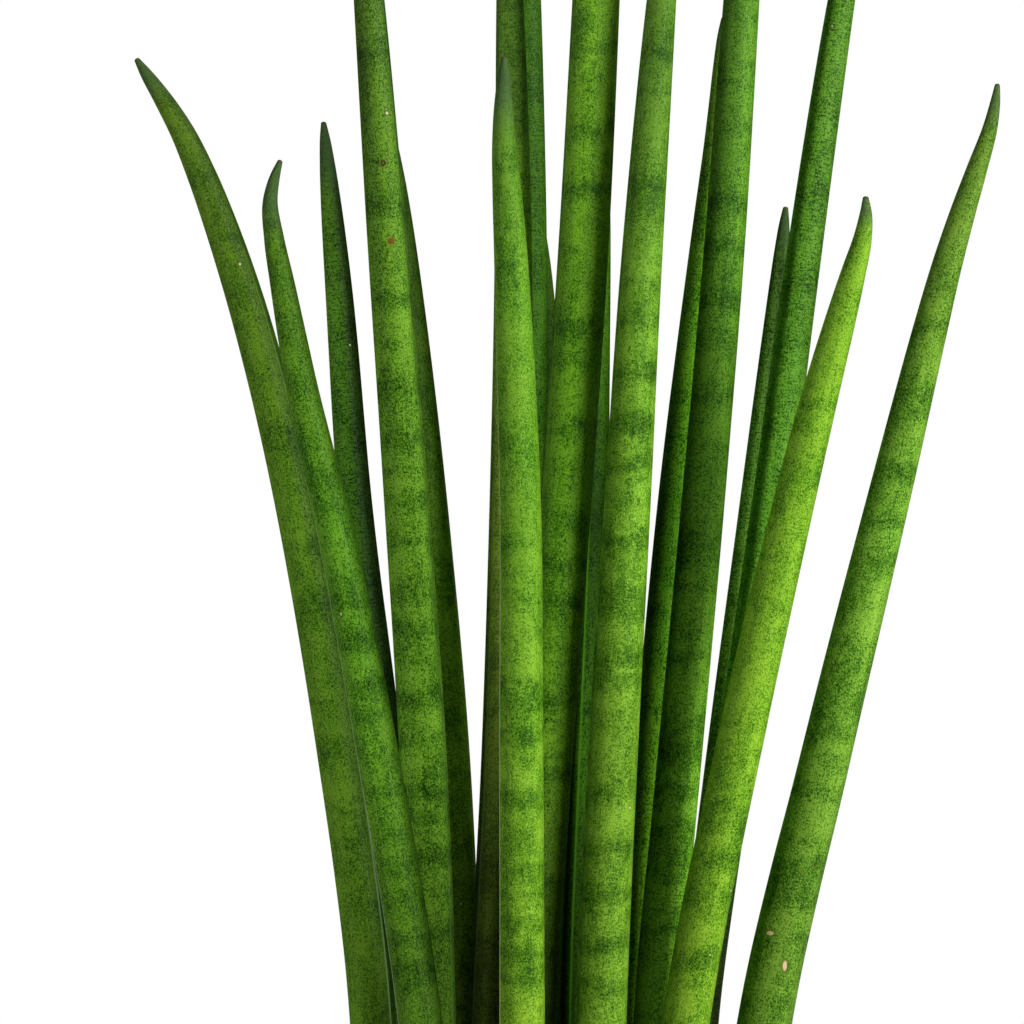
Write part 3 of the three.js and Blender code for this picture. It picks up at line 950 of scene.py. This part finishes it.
drills = bmesh.new()
for hole in range(DRAIN_HOLES):
    angle = math.radians(90 + hole * 360 / DRAIN_HOLES)
    place = Matrix.Translation((DRAIN_CIRCLE * math.cos(angle), DRAIN_CIRCLE * math.sin(angle), 0))
    bmesh.ops.create_cone(
        drills,
        cap_ends=True,
        segments=DRAIN_SIDES,
        radius1=DRAIN_RADIUS,
        radius2=DRAIN_RADIUS,
        depth=4 * INNER_FLOOR,
        matrix=place,
    )
blank = as_object("pot blank", pot_shape)
drill = as_object("drills", drills)
cut = blank.modifiers.new("drainage", "BOOLEAN")
cut.object = drill
cut.operation = "DIFFERENCE"
cut.solver = "EXACT"
pot_shape = worked(blank, drill)
for face in pot_shape.faces:
    face.smooth = True
for edge in pot_shape.edges:
    if len(edge.link_faces) == 2 and edge.calc_face_angle(0) > SHARP:
        edge.smooth = False
print("the pot has", len(pot_shape.faces), "faces with its holes cut")

# %% [markdown]
# ## Fired clay
#
# Unglazed terracotta is never one even red. Iron and fire leave soft clouds in it, sand leaves
# pits, the potter's fingers leave faint rings, and water carries pale lime out through the wall.
# Each is a layer of noise of its own size, mixed over the one before, so that the pattern runs
# round the pot without a seam.

# %% The finish of the pot
clay = Finish("terracotta")
clay_spot = clay.here()
clay_height = clay.height_of(clay_spot)
clouds = clay.cloud(clay_spot, 22 * MM, 3, 0.55, 0.4)
sand = clay.cloud(clay_spot, 0.9 * MM, 2, 0.6)
pits = clay.cloud(clay_spot, 1.6 * MM, 2, 0.5).rise(0.36, 0.28)
rings = clay.cloud(clay.stretch(clay_spot, (0.04, 0.04, 1)), 2.6 * MM, 2, 0.5)
lime = clay.cloud(clay_spot, 26 * MM, 5, 0.6, 0.3).rise(0.42, 0.78)
lime_zone = clay_height.rise(0.012, 0.05) * clay_height.rise(0.132, 0.09)
damp = (clay_height + (clouds - 0.5) * 0.06).rise(0.034, 0.012)

clay_colour = clay.mix(paint(186, 108, 72), paint(164, 88, 56), clouds.rise(0.35, 0.65))
clay_colour = clay.mix(clay_colour, paint(206, 138, 100), sand.rise(0.55, 0.75) * 0.5)
clay_colour = clay.mix(clay_colour, paint(120, 62, 40), pits * 0.55)
clay_colour = clay.mix(clay_colour, paint(126, 68, 44), damp * 0.55)
clay_colour = clay.mix(clay_colour, paint(224, 204, 184), lime * (lime_zone * 0.34 + 0.1))
clay_relief = clay.bump(rings, 0.35 * MM)
clay_relief = clay.bump(sand, 0.12 * MM, clay_relief)
clay_relief = clay.bump(1 - pits, 0.25 * MM, clay_relief)
clay_rough = 0.78 + sand * 0.2
clay_skin = clay.close(clay_colour, clay_rough, clay_relief, **{"Specular IOR Level": 0.3})
show("pot_clay", pot_shape, clay_skin, "pot", "pot")

# %% [markdown]
# ## Potting mix
#
# The mix fills the pot up to a little under the rim and lies round each leaf. Its solid becomes an
# even net of small faces, whose upper side is then raised and lowered into lumps. A bump in the
# material alone would leave the mix flat where it meets the pot and the leaves.

# %% The net of the mix
SOIL_NET = 1.3 * MM
SOIL_SHOULDER = 106 * MM
CREST = 110 * MM


def netted(node, size):
    """A node's solid as an even net of small faces."""
    rough = bpy.data.objects.new(f"{node} net", frame["nodes"][node].data.copy())
    bpy.context.scene.collection.objects.link(rough)
    net = rough.modifiers.new("net", "REMESH")
    net.mode = "VOXEL"
    net.voxel_size = size
    return worked(rough)


def lumps(spot):
    """The height of the mix over its mean, from clods down to crumbs."""
    clods = 1.5 * noise.noise(spot * 110) + 1.1 * noise.noise(spot * 260)
    return (clods + 0.8 * noise.noise(spot * 520) + 0.5 * noise.noise(spot * 1100)) * MM


soil_shape = netted("soil", SOIL_NET)
for point in soil_shape.verts:
    if point.co.z > SOIL_SHOULDER:
        share = min(1, (point.co.z - SOIL_SHOULDER) / (CREST - SOIL_SHOULDER))
        point.co.z += share * lumps(point.co)
for face in soil_shape.faces:
    face.smooth = True
soil_tree = BVHTree.FromBMesh(soil_shape)
print("the mix has", len(soil_shape.faces), "faces")

# %% The finish of the mix
peat = Finish("potting mix")
peat_spot = peat.here()
clumps = peat.cloud(peat_spot, 5 * MM, 4, 0.65)
fibres = peat.cloud(peat.stretch(peat_spot, (1, 0.35, 0.6)), 1.1 * MM, 3, 0.6, 1.5)
crumbs = peat.cloud(peat_spot, 0.7 * MM, 2, 0.6)
peat_colour = peat.mix(paint(54, 38, 27), paint(28, 20, 15), clumps.rise(0.4, 0.62))
peat_colour = peat.mix(peat_colour, paint(104, 74, 48), fibres.rise(0.55, 0.72) * 0.6)
peat_colour = peat.mix(peat_colour, paint(18, 13, 10), crumbs.rise(0.45, 0.3) * 0.7)
peat_relief = peat.bump(clumps, 0.8 * MM)
peat_relief = peat.bump(crumbs, 0.5 * MM, peat_relief)
peat_rough = 0.84 + crumbs * 0.14
peat_skin = peat.close(peat_colour, peat_rough, peat_relief, **{"Specular IOR Level": 0.2})
show("soil_mix", soil_shape, peat_skin, "soil", "soil")

# %% [markdown]
# ## Flakes, grains and grit
#
# Loose crumbs lie in the mix: flakes and crumbs of bark, white grains of perlite and some grit.
# Each is a small ball of a few faces, flattened, dented and tilted by chance, and pressed a little
# into the mix. The chance has a fixed seed, so that the plant comes out the same each time.

# %% Strew loose pieces over the mix
REACH = 57 * MM


def loose(count, seed, longest, share_of_length, clear, round_grains=False):
    """Loose pieces in one bmesh, each sunk a little into the mix and clear of every leaf."""
    draw = random.Random(seed)
    pieces = bmesh.new()
    placed = 0
    while placed < count:
        angle = draw.uniform(0, 2 * math.pi)
        reach = REACH * math.sqrt(draw.random())
        above = Vector((reach * math.cos(angle), reach * math.sin(angle), 2 * SOIL_TOP))
        if min((above - foot).xy.length - radius for foot, radius in feet) < clear:
            continue
        spot = soil_tree.ray_cast(above, Vector((0, 0, -1)))[0]
        if not spot:
            continue
        placed += 1
        length = longest * draw.uniform(0.45, 1)
        if round_grains:
            made = bmesh.ops.create_uvsphere(pieces, u_segments=8, v_segments=6, radius=1)
        else:
            made = bmesh.ops.create_icosphere(pieces, subdivisions=1, radius=1)
        sizes = [length / 2 * share * draw.uniform(0.75, 1.25) for share in share_of_length]
        tilt = Euler((draw.gauss(0, 0.35), draw.gauss(0, 0.35), draw.uniform(0, 2 * math.pi)))
        for corner in made["verts"]:
            dent = draw.uniform(0.72, 1.18)
            shaped = Vector(size * level * dent for size, level in zip(sizes, corner.co))
            corner.co = spot + tilt.to_matrix() @ shaped + Vector((0, 0, sizes[2] * 0.35))
    # The faces of Blender's round balls come in another order each time as well.
    put_in_order(pieces)
    bmesh.ops.recalc_face_normals(pieces, faces=pieces.faces)
    return pieces


# %% Finishes for the loose pieces
def crumb_finish(name, light, dark, size):
    """A matt finish in two colours, for loose pieces."""
    crumb = Finish(name)
    spot = crumb.here()
    blotch = crumb.cloud(spot, size * 3, 2, 0.6)
    line = crumb.cloud(crumb.stretch(spot, (1, 0.25, 0.6)), size, 2, 0.6, 0.8)
    colour = crumb.mix(dark, light, (blotch * 0.6 + line * 0.4).rise(0.36, 0.62))
    relief = crumb.bump(line, 0.3 * MM)
    return crumb.close(colour, 0.8 + line * 0.15, relief, **{"Specular IOR Level": 0.2})


bark_finish = crumb_finish("bark", paint(128, 88, 56), paint(58, 38, 26), 1.0 * MM)
perlite_finish = crumb_finish("perlite", paint(232, 228, 218), paint(186, 178, 164), 0.6 * MM)
grit_finish = crumb_finish("grit", paint(150, 138, 120), paint(86, 76, 64), 0.5 * MM)

show("bark_flakes", loose(230, 5, 8 * MM, (1, 0.6, 0.28), 2.5 * MM), bark_finish, "soil")
show("bark_crumbs", loose(420, 6, 3 * MM, (1, 0.75, 0.5), 1 * MM), bark_finish, "soil")
show("perlite", loose(120, 7, 2.8 * MM, (1, 0.9, 0.8), 1.5 * MM, True), perlite_finish, "soil")
show("grit", loose(160, 8, 2.2 * MM, (1, 0.8, 0.6), 1 * MM), grit_finish, "soil")

# %% [markdown]
# ## The underground stem
#
# The stem creeps through the mix, and stubs and stout roots grow from it. The mix hides it all, so
# it gets an even net, one smoothing and its own tan skin with the marks of old scales.

# %% Dress the underground stem
STEM_NET = 1 * MM
stem_shape = netted("rhizome", STEM_NET)
bmesh.ops.smooth_vert(
    stem_shape,
    verts=stem_shape.verts,
    factor=0.5,
    use_axis_x=True,
    use_axis_y=True,
    use_axis_z=True,
)
for face in stem_shape.faces:
    face.smooth = True
stem = Finish("rhizome")
stem_spot = stem.here()
scales = stem.cloud(stem.stretch(stem_spot, (1, 1, 0.5)), 4 * MM, 3, 0.6)
fibre = stem.cloud(stem_spot, 0.9 * MM, 2, 0.6)
stem_colour = stem.mix(paint(206, 172, 116), paint(150, 112, 66), scales.rise(0.4, 0.65))
stem_colour = stem.mix(stem_colour, paint(110, 76, 44), fibre.rise(0.6, 0.75) * 0.6)
stem_relief = stem.bump(fibre, 0.2 * MM)
stem_skin = stem.close(stem_colour, 0.6 + fibre * 0.2, stem_relief)
show("rhizome_skin", stem_shape, stem_skin, "rhizome", "rhizome")

# %% [markdown]
# ## Floor
#
# A pale matt disc carries the pot. Away from the pot it turns, for the camera alone, into the same
# white as the surroundings, so that no horizon shows and no light comes from it.

# %% Lay the floor
FLOOR_RADIUS = 2.6
FLOOR_DROP = 0.3 * MM
WHITE_FROM = 0.12
WHITE_FULL = 1.1
floor_shape = bmesh.new()
bmesh.ops.create_circle(floor_shape, cap_ends=True, segments=96, radius=FLOOR_RADIUS)
floor = as_object("floor", floor_shape)
floor.location.z = -FLOOR_DROP
ground = Finish("floor")
ground_spot = ground.here()
ground_tone = ground.cloud(ground_spot, 0.5, 2, 0.5)
ground_colour = ground.mix(paint(240, 240, 238), paint(233, 233, 230), ground_tone)
ground_relief = ground.bump(ground.cloud(ground_spot, 2 * MM, 1, 0.5), 0.02 * MM)
floor.data.materials.append(ground.close(ground_colour, 0.8 + ground_tone * 0.1, ground_relief))
matt = ground.tree.nodes["Principled BSDF"]
away = ground.add("ShaderNodeVectorMath", {"operation": "LENGTH"}, {0: ground_spot}, 1)
seen = ground.add("ShaderNodeLightPath")
white = ground.add("ShaderNodeEmission", None, {"Color": (1, 1, 1, 1), "Strength": 1.0})
whiteness = away.rise(WHITE_FROM, WHITE_FULL) * seen
fading = ground.add("ShaderNodeMixShader", None, {0: whiteness, 2: white})
ground.tree.links.new(matt.outputs[0], fading.socket.node.inputs[1])
ground_output = ground.tree.nodes["Material Output"]
ground.tree.links.new(fading.socket, ground_output.inputs["Surface"])
